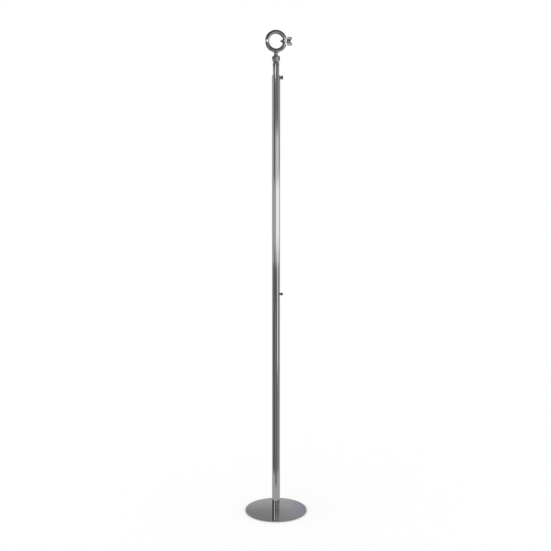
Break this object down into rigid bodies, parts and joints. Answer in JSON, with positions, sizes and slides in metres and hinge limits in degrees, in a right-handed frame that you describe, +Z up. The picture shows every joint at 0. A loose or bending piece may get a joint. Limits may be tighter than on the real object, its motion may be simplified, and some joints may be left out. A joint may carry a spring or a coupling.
{
  "type": "free-standing telescopic flagpole",
  "caption": "Free-standing chrome flagpole: round flat base, jointed tube pole, telescoping mast locked by a knurled screw, and a clamp ring head with a wing screw.",
  "frame": {"origin": "on the floor, under the pole's axis", "axes": "+Z up along the pole, +X the way the locking screws of the pole point, +Y away from the viewer"},
  "size_m": [0.25, 0.25, 1.9153],
  "materials": {
    "base_chrome": "mirror polished plate",
    "tube_chrome": "mirror polished tube",
    "head_chrome": "polished casting",
    "screw_chrome": "plated, worn on the grips",
    "zinc_steel": "plain zinc plated",
    "black_steel": "blackened steel",
    "pad_rubber": "matt rubber",
    "bush_nylon": "moulded nylon",
    "tip_nylon": "moulded nylon"
  },
  "bodies": {
    "stand": {"base_plate": "base_chrome", "floor_pad_1": "pad_rubber", "floor_pad_2": "pad_rubber", "floor_pad_3": "pad_rubber", "floor_pad_4": "pad_rubber", "base_bolt": "zinc_steel", "foot_plug": "zinc_steel", "lower_tube": "tube_chrome", "joint_spigot": "zinc_steel", "upper_tube": "tube_chrome", "guide_bush": "bush_nylon", "top_screw_boss": "screw_chrome"},
    "joint_knob": {"joint_screw": "screw_chrome"},
    "top_knob": {"top_screw": "screw_chrome"},
    "mast": {"mast_tube": "tube_chrome", "mast_glide": "bush_nylon", "mast_cap": "head_chrome", "lock_collar": "head_chrome"},
    "ring_head": {"clamp_ring": "head_chrome", "screw_bush": "black_steel"},
    "screw_end": {"pressure_tip": "tip_nylon"},
    "wing_knob": {"wing_screw": "screw_chrome"}
  },
  "joints": [
    {"name": "joint_screw_turn", "type": "hinge", "parent": "stand", "child": "joint_knob", "pos_m": [0.016, 0, 0.8975], "axis": [1, 0, 0], "range_deg": [0, 720]},
    {"name": "top_screw_turn", "type": "hinge", "parent": "stand", "child": "top_knob", "pos_m": [0.016, 0, 1.737], "axis": [1, 0, 0], "range_deg": [0, 720]},
    {"name": "mast_slide", "type": "slide", "parent": "stand", "child": "mast", "axis": [0, 0, 1], "range_m": [-0.042, 0.63]},
    {"name": "head_turn", "type": "hinge", "parent": "mast", "child": "ring_head", "pos_m": [0, 0, 1.8275], "axis": [0, 0, 1], "continuous": true},
    {"name": "tip_slide", "type": "slide", "parent": "ring_head", "child": "screw_end", "axis": [0.9816, 0.1908, 0], "range_m": [0, 0.012]},
    {"name": "wing_turn", "type": "hinge", "parent": "screw_end", "child": "wing_knob", "pos_m": [0.03927, 0.00763, 1.8733], "axis": [0.9816, 0.1908, 0], "range_deg": [-2, 3458]}
  ],
  "couplings": [
    {"joint": "wing_turn", "follows": "tip_slide", "rad_per_m": 5026.5}
  ]
}
